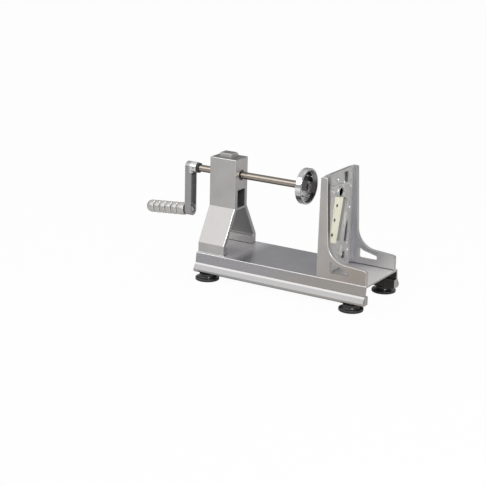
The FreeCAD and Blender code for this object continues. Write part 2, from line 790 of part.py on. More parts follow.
def build():
    os.makedirs("parts", exist_ok=True)
    save("base_rail", make_rail())
    save("drive_post", make_post())
    save("post_cap_block", make_block())
    save("left_shaft_bush", make_bush(post_left + bush_recess, post_left + bush_recess + bush_length))
    save("right_shaft_bush", make_bush(post_right - bush_recess, post_right - bush_recess - bush_length))
    save("post_screws", Part.Compound([make_screw(x, y, post_screw_radius, 5.2, post_screw_reach)
                                       for x, y in post_screw_places]))
    save("front_side_bracket", make_bracket(-1))
    save("rear_side_bracket", make_bracket(1))
    save("bracket_screws", Part.Compound([make_screw(x, y, bracket_screw_radius, 3.4, bracket_screw_reach)
                                          for x, y in bracket_screw_places]))
    for name, (x, y) in foot_places.items():
        save(name, make_foot(x, y))
    save("foot_studs", Part.Compound([
        rod_z(rail_bottom - stud_depth, rail_bottom + stud_depth, stud_radius, x, y)
        for x, y in foot_places.values()
    ]))
    save("bumper_washer", make_bumper())
    save("drive_shaft", make_shaft())
    save("crank_arm", make_arm())
    save("crank_pin", make_pin())
    save("grip", make_grip())
    save("grip_spindle", make_spindle())
    save("spindle_nut", make_nut())
    save("grip_washer", make_grip_washer())
    save("food_holder", make_holder())
    save("holder_prongs", make_prongs())
    save("holder_screw", make_holder_screw())
    save("blade_plate", make_plate())
    save("slicing_blade", make_blade())
    save("blade_screws", make_blade_screws())
    save("scoring_comb", make_comb())
    save("clamp_strip", make_strip())
    save("strip_screws", make_strip_screws())
    save("core_tube", make_core_tube())


build()
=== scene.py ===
import json
import math

import bmesh
import bpy
from mathutils import Matrix, Vector


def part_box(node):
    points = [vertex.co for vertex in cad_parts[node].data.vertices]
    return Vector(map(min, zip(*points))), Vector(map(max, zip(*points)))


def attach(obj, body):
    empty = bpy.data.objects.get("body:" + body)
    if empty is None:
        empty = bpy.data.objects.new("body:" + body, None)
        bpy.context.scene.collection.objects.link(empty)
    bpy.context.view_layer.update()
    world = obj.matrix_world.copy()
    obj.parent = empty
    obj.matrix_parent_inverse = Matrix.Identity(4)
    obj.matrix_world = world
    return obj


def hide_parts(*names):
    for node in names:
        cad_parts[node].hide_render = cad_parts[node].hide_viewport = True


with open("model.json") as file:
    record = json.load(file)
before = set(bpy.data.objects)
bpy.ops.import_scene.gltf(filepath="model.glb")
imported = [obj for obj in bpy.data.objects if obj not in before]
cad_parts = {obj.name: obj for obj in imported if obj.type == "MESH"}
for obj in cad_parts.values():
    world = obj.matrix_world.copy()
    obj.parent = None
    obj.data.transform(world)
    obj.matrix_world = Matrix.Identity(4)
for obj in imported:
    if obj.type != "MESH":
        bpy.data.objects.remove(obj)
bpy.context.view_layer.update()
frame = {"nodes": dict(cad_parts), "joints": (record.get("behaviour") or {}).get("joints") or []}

print("frame loaded with", len(frame["nodes"]), "nodes")

xAxis = Vector((1, 0, 0))
zAxis = Vector((0, 0, 1))


def boxCentre(node):
    low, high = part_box(node)
    return (low + high) / 2


railLow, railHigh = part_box("base_rail")
railMiddle = (railLow.x + railHigh.x) / 2
railTopHalf = 0.0685                            # half the width of the rail's flat top
shaftHeight = boxCentre("drive_shaft").z        # height of the shaft's axis, which runs along X
nutHeight = boxCentre("spindle_nut").z
gripSpin = next(joint for joint in frame["joints"] if joint["name"] == "grip_spin")
gripCentre = Vector(gripSpin["pos_m"])
gripAxis = Vector(gripSpin["axis"]).normalized()


# Camera: the photograph's view, in metres and degrees. The photograph is 486 by 486 pixels.
cameraLook = {
    "targetFromRail": -0.12275,
    "targetHeight": 0.06502,
    "distance": 2.8304,
    "azimuth": 31.25,
    "elevation": 16.63,
    "roll": 1.43,
    "focalPixels": 1400.0,
    "framePixels": 486.0,
    "sensor": 36.0,
    "farthest": 50.0,
}


def placeCamera(look):
    azimuth = math.radians(look["azimuth"])
    elevation = math.radians(look["elevation"])
    roll = math.radians(look["roll"])
    back = Vector((math.sin(azimuth) * math.cos(elevation),
                   -math.cos(azimuth) * math.cos(elevation),
                   math.sin(elevation)))
    right = zAxis.cross(back).normalized()
    up = back.cross(right)
    rolledRight = right * math.cos(roll) + up * math.sin(roll)
    rolledUp = back.cross(rolledRight)
    target = Vector((railMiddle + look["targetFromRail"], 0, look["targetHeight"]))
    camera = bpy.data.objects.new("camera", bpy.data.cameras.new("camera"))
    bpy.context.scene.collection.objects.link(camera)
    turn = Matrix((rolledRight, rolledUp, back)).transposed().to_4x4()
    camera.matrix_world = Matrix.Translation(target + back * look["distance"]) @ turn
    camera.data.sensor_width = look["sensor"]
    camera.data.lens = look["focalPixels"] / look["framePixels"] * look["sensor"]
    camera.data.clip_end = look["farthest"]
    bpy.context.scene.camera = camera


placeCamera(cameraLook)
print("camera placed")


# One socket of a shader, so that shader maths reads as plain maths
class Wire:
    def __init__(self, finish, socket):
        self.finish = finish
        self.socket = socket

    def __add__(self, other):
        return self.finish.maths("ADD", self, other)

    def __sub__(self, other):
        return self.finish.maths("SUBTRACT", self, other)

    def __rsub__(self, other):
        return self.finish.maths("SUBTRACT", other, self)

    def __mul__(self, other):
        return self.finish.maths("MULTIPLY", self, other)

    def __abs__(self):
        return self.finish.maths("ABSOLUTE", self)

    def __pow__(self, other):
        return self.finish.maths("POWER", self, other)

    __radd__ = __add__


# A material, or the world, with one method that adds any node
class Finish:
    def __init__(self, holder):
        holder.use_nodes = True
        self.tree = holder.node_tree
        self.tree.nodes.clear()

    def node(self, kind, settings=None, sockets=None, output=0):
        made = self.tree.nodes.new("ShaderNode" + kind)
        for name, value in (settings or {}).items():
            setattr(made, name, value)
        for name, value in (sockets or {}).items():
            if isinstance(value, Wire):
                self.tree.links.new(value.socket, made.inputs[name])
            else:
                made.inputs[name].default_value = value
        return Wire(self, made.outputs[output]) if made.outputs else made

    def maths(self, operation, *values):
        return self.node("Math", {"operation": operation}, dict(enumerate(values)))

    def clamp(self, value):
        return self.node("Math", {"operation": "ADD", "use_clamp": True}, {0: value, 1: 0.0})

    def place(self):
        return self.node("TexCoord", output="Object")

    # The three numbers of a vector
    def split(self, vector):
        outputs = self.node("SeparateXYZ", None, {"Vector": vector}).socket.node.outputs
        return [Wire(self, output) for output in outputs]

    # 0 up to the edge, then a straight climb that reaches 1 after the soft length
    def over(self, value, edge, soft):
        return self.clamp((value - edge) * (1 / soft))

    # 0 from the edge on, and 1 until the soft length before it
    def under(self, value, edge, soft):
        return self.clamp((edge - value) * (1 / soft))

    # Coordinates stretched along each axis
    def stretched(self, scale):
        return self.node("VectorMath", {"operation": "MULTIPLY"}, {0: self.place(), 1: scale})

    def noise(self, scale, detail, where=None, rough=0.5):
        return self.node("TexNoise", None, {"Vector": where or self.place(), "Scale": scale, "Detail": detail,
                                            "Roughness": rough})

    # Noise with its contrast raised, between 0 and 1
    def patches(self, look):
        return self.clamp(self.noise(look["scale"], look["detail"]) * look["contrast"] + look["base"])

    def between(self, factor, first, second):
        first, second = ((*colour, 1) if isinstance(colour, tuple) else colour for colour in (first, second))
        return self.node("Mix", {"data_type": "RGBA"}, {0: factor, 6: first, 7: second}, output=2)

    def bump(self, height):
        return self.node("Bump", None, {"Height": height, "Distance": 1.0, "Strength": 1.0})

    def surface(self, sockets):
        shader = self.node("BsdfPrincipled", None, sockets)
        self.node("OutputMaterial", None, {"Surface": shader})


def newFinish(name):
    material = bpy.data.materials.new(name)
    return material, Finish(material)


def tint(colour, factor):
    return tuple(channelShade * factor for channelShade in colour)


# The measures of a point that a layer's zones can name, in metres. A look's box gives the ends of its piece.
class Spot:
    def __init__(self, finish, look):
        self.x, self.y, self.z = finish.split(finish.place())
        self.low, self.high = look.get("box", (None, None))
        self.slants = look.get("slants", {})

    away = property(lambda self: abs(self.y))
    height = property(lambda self: self.z - railHigh.z)
    rise = property(lambda self: self.z - shaftHeight)
    radius = property(lambda self: (self.y * self.y + self.rise * self.rise) ** 0.5)
    fromLeft = property(lambda self: self.x - self.low.x)
    fromRight = property(lambda self: self.high.x - self.x)
    fromTop = property(lambda self: self.high.z - self.z)
    fromSide = property(lambda self: self.high.y - self.away)

    # A slant adds up several measures, each times its factor, from a first value
    def measure(self, name):
        if name not in self.slants:
            return getattr(self, name)
        first, factors = self.slants[name]
        return sum((getattr(self, part) * factor for part, factor in factors.items()), first)


# The slant that gives how far a point lies beyond a sloping edge, which passes a place at a height
def slopingEdge(measure, place, height, slope):
    return -place - height * slope, {measure: 1.0, "height": slope}


# A zone is its strength, then conditions: a measure, over or under, the edge and the change's soft length
def zoneShare(finish, spot, zone):
    share, *conditions = zone
    for name, side, edge, soft in conditions:
        share = getattr(finish, side)(spot.measure(name), edge, soft) * share
    return share


# Noise patches that break up the painted edge highlights: larger ones along the rims, smaller ones on the
# plate's ribs
highlightPatchLooks = {
    "rimHighlightPatches": {"scale": 120.0, "detail": 3.0, "contrast": 0.6, "base": 0.55},
    "worn": {"scale": 150.0, "detail": 4.0, "contrast": 3.2, "base": -1.2},
}
metalNoise = {"mottleDetail": 4.0, "mottleContrast": 2.2, "mottleBase": -0.6, "grainDetail": 2.0,
              "lineDetail": 3.0, "lineRough": 0.6}


# Cast and machined metals share a build: mottled colour, uneven polish, fine grain and long lines.
# A look's layers, painted light and shade, lie over it in order. Each brings a colour, and may change the
# roughness and the metal.
def metal(name, look):
    material, finish = newFinish(name)
    mottle = finish.noise(look["mottleScale"], metalNoise["mottleDetail"])
    grain = finish.noise(look["grainScale"], metalNoise["grainDetail"])
    lines = finish.noise(1.0, metalNoise["lineDetail"], finish.stretched(look["lineScale"]),
                         metalNoise["lineRough"])
    colour = finish.between(finish.clamp(mottle * metalNoise["mottleContrast"] + metalNoise["mottleBase"]),
                            tint(look["colour"], 1 - look["mottle"]),
                            tint(look["colour"], 1 + look["mottle"]))
    polish = look["roughness"] + (mottle - 0.5) * look["unevenness"] + (lines - 0.5) * look["lineRoughness"]
    shine = look["metallic"]
    layers = look.get("layers", {}).values()
    spot = Spot(finish, look) if layers else None
    for layer in layers:
        share = finish.clamp(sum(zoneShare(finish, spot, zone) for zone in layer["zones"]))
        if "patch" in layer:
            share = share * finish.patches(highlightPatchLooks[layer["patch"]])
        colour = finish.between(share, colour, layer["colour"])
        if "roughness" in layer:
            polish = polish + share * layer["roughness"]
        if "metallic" in layer:
            shine = shine + share * layer["metallic"]
    height = grain * look["grainDepth"] + lines * look["lineDepth"]
    finish.surface({
        "Base Color": colour,
        "Roughness": finish.clamp(polish),
        "Normal": finish.bump(height),
        "Metallic": shine,
    })
    return material


# Castings: a painted edge highlight along the rim, with a smoother polish, and painted shade on the top that
# several of them have
castLook = {
    "colour": (0.545, 0.530, 0.522), "mottle": 0.05, "mottleScale": 26.0, "metallic": 0.85,
    "roughness": 0.44, "unevenness": 0.12, "grainScale": 1500.0, "grainDepth": 0.00003,
    "lineScale": (60.0, 60.0, 60.0), "lineRoughness": 0.06, "lineDepth": 0.0,
}
castRimHighlight = {"colour": (0.90, 0.90, 0.89), "roughness": -0.12, "patch": "rimHighlightPatches"}
castShadedTop = {"colour": (0.24, 0.24, 0.245)}

blockLook = {**castLook, "box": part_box("post_cap_block"), "layers": {
    "top": {**castShadedTop, "zones": [[1.0, ("fromTop", "under", 0.0004, 0.0003)]]},
    "rim": {**castRimHighlight, "zones": [
        [1.0, ("fromTop", "under", 0.0014, 0.0004), ("fromTop", "over", 0.0002, 0.0002)]]},
}}

# Post: painted shade in the window through it, deeper upwards and inwards, and under the arch; painted shade
# down the lower part of its right face and on its top; a painted edge highlight; and painted contact shade
# along the foot, where it stands on the rail
postHalf = 0.0235
postLegTop = 0.0887     # height over the rail at which the legs begin to splay
# The painted shade in the window deepens inwards and upwards at these rates
postShadeInwards = 22.0      # how fast the window darkens inwards and upwards, per metre
postShadeUpwards = 20.0
postWindow = [("away", "under", 0.0137, 0.0001), ("height", "over", postLegTop - 0.0002, 0.0002),
              ("height", "under", 0.12502, 0.0001)]
postLeg = [("fromLeg", "over", -0.0012, 0.0003), ("height", "over", 0.0198, 0.001),
           ("height", "under", postLegTop + 0.001, 0.001)]
postLook = {**castLook, "box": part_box("drive_post"), "slants": {
    "deepness": (-postLegTop * postShadeUpwards, {"fromRight": postShadeInwards, "height": postShadeUpwards}),
    "fromArch": slopingEdge("away", 0.01655, 0.08425, 0.5489),
    "fromLeg": slopingEdge("away", postHalf, postLegTop, 0.5646),
}, "layers": {
    "paintedLower": {"colour": (0.38, 0.38, 0.385), "zones": [
        [1.0, ("fromRight", "under", 0.0003, 0.0002), ("height", "under", 0.158, 0.075)]]},
    "top": {**castShadedTop, "zones": [[1.0, ("fromTop", "under", 0.0006, 0.0004)]]},
    "insideShade": {"colour": (0.20, 0.195, 0.20), "roughness": 0.08, "zones": [
        [1.0, *postWindow],
        [1.0, ("fromArch", "under", 0.0, 0.0001), ("height", "under", 0.08425, 0.0001),
         ("height", "over", 0.0188, 0.0004)]]},
    "deep": {"colour": (0.018, 0.017, 0.018), "zones": [[1.0, *postWindow, ("deepness", "over", 0.5, 0.6)]]},
    "rim": {**castRimHighlight, "zones": [
        [1.0, ("fromRight", "under", 0.0014, 0.0004), *postLeg],
        [1.0, ("fromLeft", "under", 0.0014, 0.0004), *postLeg],
        [1.0, ("away", "over", postHalf - 0.0012, 0.0004), ("fromTop", "under", 0.0013, 0.0004)],
        [1.0, ("away", "over", 0.0618, 0.0004), ("height", "under", 0.0014, 0.0004)],
        [0.45, ("height", "under", 0.0194, 0.0004), ("height", "over", 0.0148, 0.0006),
         ("away", "under", 0.0560, 0.0006)]]},
    "seam": {"colour": (0.05, 0.045, 0.04), "zones": [
        [1.0, ("height", "under", 0.0012, 0.0005), ("away", "under", 0.0600, 0.0006)]]},
}}

# Brackets: a painted warm reflection on the outside; a painted cool reflection on the inner face, lighter
# towards its right end; painted shade on the front column's edge towards the plate; a painted edge highlight;
# and painted contact shade at the foot of the inner face.
bracketInner = ("away", "under", 0.0558, 0.0002)
bracketLook = {**castLook, "colour": (0.515, 0.495, 0.480), "box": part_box("rear_side_bracket"), "slants": {
    "fromColumn": (0.0, {"fromLeft": 1.0, "height": -0.6}),
}, "layers": {
    "tan": {"colour": (0.42, 0.375, 0.34), "zones": [
        [1.0, ("away", "over", 0.0652, 0.0003), ("fromColumn", "over", -0.03, 0.10)]]},
    "innerReflection": {"colour": (0.50, 0.50, 0.525), "zones": [[1.0, bracketInner]]},
    "innerEndLight": {"colour": (0.66, 0.65, 0.655), "zones": [
        [1.0, bracketInner, ("fromRight", "under", 0.045, 0.035)]]},
    "shade": {"colour": (0.15, 0.135, 0.12), "zones": [
        [1.0, ("y", "under", -0.0522, 0.0006), ("y", "over", -0.0655, 0.0003),
         ("fromLeft", "over", 0.01, 0.0005), ("height", "over", 0.055, 0.04),
         ("height", "under", 0.2, 0.02)]]},
    "rim": {**castRimHighlight, "zones": [
        [1.0, ("fromSide", "under", 0.0011, 0.0003), ("fromSide", "over", 0.0, 0.0001),
         ("fromRight", "over", 0.0008, 0.0008)]]},
    "seam": {"colour": (0.06, 0.055, 0.055), "zones": [
        [1.0, ("height", "under", 0.0016, 0.0007), bracketInner]]},
}}

# Rail: brushed, with a painted warm reflection along its sides towards the right, painted light on the right
# end of its top, a painted reflection of the post on its top under the post, painted shade on the flare over
# the toe below a painted highlight at the kink, painted shade inside and a painted edge highlight
railTop = ("fromTop", "under", 0.0006, 0.0004)
railSide = ("away", "over", railTopHalf, 0.001)
railUnder = ("z", "under", 0.0469, 0.0003)
railToe = 0.0575
railLook = {
    "colour": (0.44, 0.43, 0.45), "mottle": 0.04, "mottleScale": 18.0, "metallic": 0.88,
    "roughness": 0.26, "unevenness": 0.08, "grainScale": 1800.0, "grainDepth": 0.00001,
    "lineScale": (3.0, 900.0, 900.0), "lineRoughness": 0.05, "lineDepth": 0.000002,
    "box": (railLow, railHigh), "layers": {
        "warm": {"colour": (0.44, 0.415, 0.39), "zones": [
            [1.0, ("x", "over", 0.02, 0.16), ("fromTop", "over", 0.0015, 0.0004)]]},
        "bay": {"colour": (0.88, 0.865, 0.85), "roughness": 0.14, "zones": [
            [1.0, ("x", "over", 0.165, 0.07), railTop]]},
        "postReflection": {"colour": (0.60, 0.59, 0.61), "metallic": -0.3, "zones": [
            [1.0, ("x", "under", -0.004, 0.026), railTop]]},
        "flareShade": {"colour": (0.325, 0.32, 0.32), "zones": [
            [1.0, railSide, ("z", "over", 0.0185, 0.0006), ("z", "under", 0.029, 0.0016)]]},
        "kink": {"colour": (0.50, 0.49, 0.485), "zones": [
            [1.0, railSide, ("z", "over", 0.0266, 0.00182), ("z", "under", 0.0318, 0.00182)]]},
        "insideShade": {"colour": (0.075, 0.072, 0.070), "roughness": 0.2, "zones": [
            [1.0, ("away", "under", railToe, 0.0004), railUnder],
            [1.0, ("away", "over", railToe - 0.0004, 0.0004), ("away", "under", 0.0662, 0.0004),
             ("z", "over", 0.0295, 0.0005), railUnder]]},
        "rim": {"colour": (0.90, 0.89, 0.88), "roughness": -0.08, "patch": "rimHighlightPatches", "zones": [
            [1.0, ("away", "over", railTopHalf - 0.0013, 0.0004), ("fromTop", "under", 0.0013, 0.0004)]]},
    },
}

# Blade plate: painted shade on the duller ramp beside the slot, painted shade in the blind pockets, darker
# towards the tops of the upper ones, and a painted highlight in patches on the ribs
platePocket = [("fromLeft", "under", 0.0072, 0.0024), ("fromLeft", "over", 0.0024, 0.0004),
               ("away", "under", 0.0425, 0.0004)]
plateUpper = ("height", "over", 0.163, 0.0005)
plateLook = {
    **castLook, "colour": (0.60, 0.595, 0.585), "mottle": 0.12, "mottleScale": 110.0,
    "grainDepth": 0.00012, "grainScale": 420.0, "box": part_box("blade_plate"), "slants": {
        "fromSlot": slopingEdge("y", 0.0085, 0.0332, -0.2227),
    }, "layers": {
        "ramp": {"colour": (0.24, 0.24, 0.222), "roughness": 0.1, "zones": [
            [1.0, ("fromLeft", "under", 0.0077, 0.0002), ("fromLeft", "over", 0.0006, 0.0004),
             ("fromSlot", "under", 0.0025, 0.0005), ("fromSlot", "over", -0.024, 0.0005),
             ("height", "over", 0.02, 0.0005), ("height", "under", 0.152, 0.0005)]]},
        "pocketShade": {"colour": (0.22, 0.22, 0.225), "roughness": 0.1, "zones": [
            [1.0, *platePocket, ("fromSlot", "over", 0.002, 0.001), ("height", "under", 0.1635, 0.0005)],
            [0.4, *platePocket, plateUpper],
            [0.6, *platePocket, plateUpper, ("height", "over", 0.16, 0.02)]]},
        "rib": {"colour": (0.80, 0.80, 0.80), "patch": "worn", "zones": [
            [1.0, ("fromLeft", "over", 0.0091, 0.0004)]]},
    },
}

# Coring tube, with painted shade inside its bore
tubeLook = {
    "colour": (0.52, 0.52, 0.52), "mottle": 0.05, "mottleScale": 90.0, "metallic": 0.9,
    "roughness": 0.26, "unevenness": 0.08, "grainScale": 2000.0, "grainDepth": 0.0,
    "lineScale": (900.0, 30.0, 30.0), "lineRoughness": 0.1, "lineDepth": 0.000004,
    "layers": {
        "insideShade": {"colour": (0.006, 0.006, 0.006), "roughness": 0.4, "zones": [
            [1.0, ("radius", "under", 0.0081, 0.0002)]]},
    },
}

# Crank arm, with a polished hub that carries a painted highlight, and painted shade in the channel in its
# back
armLook = {
    "colour": (0.40, 0.40, 0.40), "mottle": 0.06, "mottleScale": 40.0, "metallic": 0.85,
    "roughness": 0.34, "unevenness": 0.12, "grainScale": 1600.0, "grainDepth": 0.00003,
    "lineScale": (60.0, 60.0, 60.0), "lineRoughness": 0.05, "lineDepth": 0.0,
    "box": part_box("crank_arm"), "layers": {
        "hub": {"colour": (0.80, 0.79, 0.79), "roughness": -0.14, "zones": [
            [1.0, ("fromLeft", "over", 0.0105, 0.0045), ("rise", "over", -0.0112, 0.0004)]]},
        "channelShade": {"colour": (0.30, 0.295, 0.295), "roughness": 0.1, "zones": [
            [1.0, ("away", "under", 0.0088, 0.0001), ("z", "over", nutHeight + 0.007, 0.0005),
             ("rise", "under", -0.0112, 0.0001), ("fromLeft", "over", 0.005, 0.0005),
             ("y", "under", 0.0086, 0.0016)]]},
    },
}

# Grip: each groove has painted shade at its bottom, and smooth flanks with a painted highlight
grooves = (0.02995, 0.0156, 0.00125, -0.0131, -0.02745)


def grooveZones(half, soft):
    return [[1.0, ("along", "over", place - half, soft), ("along", "under", place + half, soft)]
            for place in grooves]


gripLook = {
    "colour": (0.62, 0.61, 0.585), "mottle": 0.06, "mottleScale": 60.0, "metallic": 0.88,
    "roughness": 0.42, "unevenness": 0.10, "grainScale": 1600.0, "grainDepth": 0.00002,
    "lineScale": (1400.0, 6.0, 6.0), "lineRoughness": 0.12, "lineDepth": 0.00001,
    "slants": {
        "along": (-gripCentre.x * gripAxis.x - gripCentre.z * gripAxis.z, {"x": gripAxis.x, "z": gripAxis.z}),
    }, "layers": {
        "flankHighlight": {"colour": (0.85, 0.84, 0.82), "roughness": -0.28, "zones": grooveZones(0.0019, 0.0006)},
        "groove": {"colour": (0.035, 0.03, 0.03), "zones": grooveZones(0.0008, 0.0004)},
    },
}

# Shaft, with painted brown shade along its underside and a painted dark reflection along its crown
steelLook = {
    "colour": (0.40, 0.355, 0.31), "mottle": 0.06, "mottleScale": 50.0, "metallic": 1.0,
    "roughness": 0.10, "unevenness": 0.04, "grainScale": 2000.0, "grainDepth": 0.0,
    "lineScale": (1600.0, 8.0, 8.0), "lineRoughness": 0.05, "lineDepth": 0.000001,
    "layers": {
        "under": {"colour": (0.13, 0.11, 0.09), "zones": [[1.0, ("rise", "under", -0.0012, 0.0038)]]},
        "crownDarkReflection": {"colour": (0.20, 0.175, 0.15), "zones": [[1.0, ("rise", "over", 0.0052, 0.001)]]},
    },
}

# Food holder: up is measured across its tilted cross bar, and fromRight is the depth behind its front
holderTilt = math.radians(-17.0)
holderFloor = ("radius", "under", 0.0318, 0.0003)
holderBehindRim = ("fromRight", "over", 0.0008, 0.0003)
holderBar = [("up", "over", -0.0102, 0.0002), ("up", "under", 0.0102, 0.0002), holderBehindRim,
             ("fromRight", "under", 0.005, 0.0003)]
holderWall = [("radius", "over", 0.0318, 0.0003), ("radius", "under", 0.0334, 0.0004), holderBehindRim]
holderSide = ("radius", "over", 0.0352, 0.0003)
chromeLook = {
    "colour": (0.62, 0.61, 0.62), "mottle": 0.03, "mottleScale": 40.0, "metallic": 1.0,
    "roughness": 0.10, "unevenness": 0.06, "grainScale": 500.0, "grainDepth": 0.00001,
    "lineScale": (40.0, 40.0, 40.0), "lineRoughness": 0.04, "lineDepth": 0.00003,
}
holderLook = {**chromeLook, "box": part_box("food_holder"), "slants": {
    "up": (0.0, {"rise": math.cos(holderTilt), "y": -math.sin(holderTilt)}),
}, "layers": {
    # The layers are painted: shade in the upper pocket, a bright reflection in the lower one, dark
    # reflections with a highlight on the cross bar, light and shade on the inner wall, and a highlight and
    # shade on the side
    "upperShade": {"colour": (0.018, 0.017, 0.018), "zones": [
        [1.0, holderFloor, ("fromRight", "over", 0.0045, 0.0007), ("up", "over", 0.0, 0.001)]]},
    "paintedLower": {"colour": (0.95, 0.95, 0.96), "roughness": 0.15, "metallic": -0.8, "zones": [
        [1.0, holderFloor, ("fromRight", "over", 0.0098, 0.0004), ("up", "under", 0.0, 0.001),
         ("y", "under", 0.028, 0.004)]]},
    "bar": {"colour": (0.10, 0.093, 0.096), "zones": [[1.0, *holderBar]]},
    "barDarkReflection": {"colour": (0.05, 0.047, 0.05), "zones": [[1.0, *holderBar, ("y", "over", 0.003, 0.003)]]},
    "barHighlight": {"colour": (0.36, 0.35, 0.36), "zones": [
        [1.0, *holderBar, ("y", "over", -0.0035, 0.002), ("y", "under", 0.0035, 0.002)]]},
    "wallUpperLight": {"colour": (0.75, 0.74, 0.75), "metallic": -0.8, "zones": [[1.0, *holderWall]]},
    "wallLowerShade": {"colour": (0.09, 0.085, 0.09), "zones": [
        [1.0, *holderWall, ("rise", "under", 0.01, 0.012)]]},
    "sideHighlight": {"colour": (0.98, 0.98, 0.97), "zones": [
        [1.0, holderSide, ("rise", "over", -0.005, 0.005), ("rise", "under", 0.021, 0.005)]]},
    "sideShade": {"colour": (0.12, 0.115, 0.12), "zones": [
        [1.0, holderSide, ("rise", "over", -0.0215, 0.002), ("rise", "under", -0.0115, 0.002)]]},
}}

# Fasteners and blades
# The holder's screw takes the cross bar's painted dark reflection
holderScrewReflectionLook = {**chromeLook, "colour": (0.22, 0.21, 0.215)}
zincLook = {
    "colour": (0.50, 0.50, 0.48), "mottle": 0.08, "mottleScale": 150.0, "metallic": 1.0,
    "roughness": 0.30, "unevenness": 0.15, "grainScale": 1800.0, "grainDepth": 0.00001,
    "lineScale": (300.0, 300.0, 300.0), "lineRoughness": 0.08, "lineDepth": 0.0,
}
bladeLook = {
    "colour": (0.62, 0.62, 0.62), "mottle": 0.05, "mottleScale": 90.0, "metallic": 1.0,
    "roughness": 0.20, "unevenness": 0.08, "grainScale": 2000.0, "grainDepth": 0.0,
    "lineScale": (900.0, 900.0, 12.0), "lineRoughness": 0.14, "lineDepth": 0.000004,
}
combLook = {**bladeLook, "colour": (0.40, 0.40, 0.375), "roughness": 0.34}
capFinishLook = {**bladeLook, "colour": (0.92, 0.92, 0.92), "roughness": 0.34, "lineRoughness": 0.04}
darkSteelLook = {
    "colour": (0.10, 0.10, 0.085), "mottle": 0.15, "mottleScale": 250.0, "metallic": 0.9,
    "roughness": 0.38, "unevenness": 0.15, "grainScale": 2200.0, "grainDepth": 0.00001,
    "lineScale": (200.0, 200.0, 200.0), "lineRoughness": 0.05, "lineDepth": 0.0,
}


# Rubber, with dust that dulls it in patches
rubberLook = {
    "colour": (0.013, 0.012, 0.013), "dust": (0.030, 0.029, 0.028), "dustShare": 0.5, "dustRoughness": 0.18,
    "patch": {"scale": 70.0, "detail": 4.0, "contrast": 3.0, "base": -1.3},
    "roughness": 0.12, "specular": 0.75, "speckScale": 1300.0, "speckDetail": 2.0, "speckDepth": 0.00002,
}


def rubber(name, look):
    material, finish = newFinish(name)
    patches = finish.patches(look["patch"])
    speck = finish.noise(look["speckScale"], look["speckDetail"])
    finish.surface({
        "Base Color": finish.between(patches * look["dustShare"], look["colour"], look["dust"]),
        "Roughness": look["roughness"] + patches * look["dustRoughness"],
        "Normal": finish.bump(speck * look["speckDepth"]),
        "Specular IOR Level": look["specular"],
    })
    return material


# Moulded nylon, smooth with a faint orange-peel skin
nylonSkin = {"cloudScale": 45.0, "cloudDetail": 3.0, "unevenness": 0.12, "peelScale": 700.0,
             "peelDetail": 2.0, "peelDepth": 0.00004}
creamLook = {**nylonSkin, "colour": (0.82, 0.80, 0.66), "shade": (0.74, 0.72, 0.58), "roughness": 0.42}
nylonLook = {**nylonSkin, "colour": (0.022, 0.021, 0.02), "shade": (0.035, 0.034, 0.032), "roughness": 0.5}
bushLook = {**nylonSkin, "colour": (0.13, 0.115, 0.10), "shade": (0.09, 0.08, 0.07), "roughness": 0.4}


def nylon(name, look):
    material, finish = newFinish(name)
    cloud = finish.noise(look["cloudScale"], look["cloudDetail"])
    peel = finish.noise(look["peelScale"], look["peelDetail"])
    finish.surface({
        "Base Color": finish.between(cloud, look["shade"], look["colour"]),
        "Roughness": look["roughness"] + (cloud - 0.5) * look["unevenness"],
        "Normal": finish.bump(peel * look["peelDepth"]),
    })
    return material


finishes = {
    "cast_aluminium": metal("castAluminium", blockLook),
    "post_aluminium": metal("postAluminium", postLook),
    "bracket_aluminium": metal("bracketAluminium", bracketLook),
    "plate_aluminium": metal("plateAluminium", plateLook),
    "rail_aluminium": metal("railAluminium", railLook),
    "tube_steel": metal("tubeSteel", tubeLook),
    "arm_aluminium": metal("armAluminium", armLook),
    "grip_aluminium": metal("gripAluminium", gripLook),
    "polished_steel": metal("polishedSteel", steelLook),
    "chromed_casting": metal("chromedCasting", holderLook),
    "bar_steel": metal("barSteel", holderScrewReflectionLook),
    "zinc_steel": metal("zincSteel", zincLook),
    "blade_steel": metal("bladeSteel", bladeLook),
    "comb_steel": metal("combSteel", combLook),
    "cap_steel": metal("capSteel", capFinishLook),
    "dark_steel": metal("darkSteel", darkSteelLook),
    "black_rubber": rubber("blackRubber", rubberLook),
    "dark_nylon": nylon("darkNylon", nylonLook),
    "bush_nylon": nylon("bushNylon", bushLook),
    "cream_nylon": nylon("creamNylon", creamLook),
}

nodeFinishes = {
    "cast_aluminium": ["post_cap_block"],
    "post_aluminium": ["drive_post"],
    "bracket_aluminium": ["front_side_bracket", "rear_side_bracket"],
    "plate_aluminium": ["blade_plate"],
    "rail_aluminium": ["base_rail"],
    "arm_aluminium": ["crank_arm"],
    "grip_aluminium": ["grip"],
    "polished_steel": ["drive_shaft", "crank_pin"],
    "tube_steel": ["core_tube"],
    "chromed_casting": ["food_holder"],
    "zinc_steel": ["post_screws", "bracket_screws", "foot_studs", "spindle_nut", "grip_spindle",
                   "holder_prongs", "blade_screws"],
    "blade_steel": ["slicing_blade"],
    "comb_steel": ["scoring_comb"],
    "bar_steel": ["holder_screw"],
    "dark_steel": ["strip_screws"],
    "black_rubber": ["front_left_foot", "front_right_foot", "rear_left_foot", "rear_right_foot"],
    "dark_nylon": ["bumper_washer", "grip_washer"],
    "bush_nylon": ["left_shaft_bush", "right_shaft_bush"],
    "cream_nylon": ["clamp_strip"],
}

for finishName, nodeNames in nodeFinishes.items():
    for nodeName in nodeNames:
        nodeMaterials = frame["nodes"][nodeName].data.materials
        nodeMaterials.clear()
        nodeMaterials.append(finishes[finishName])
print("finishes assigned")


sharpAngle = math.radians(38)   # edges that turn by more than this stay sharp


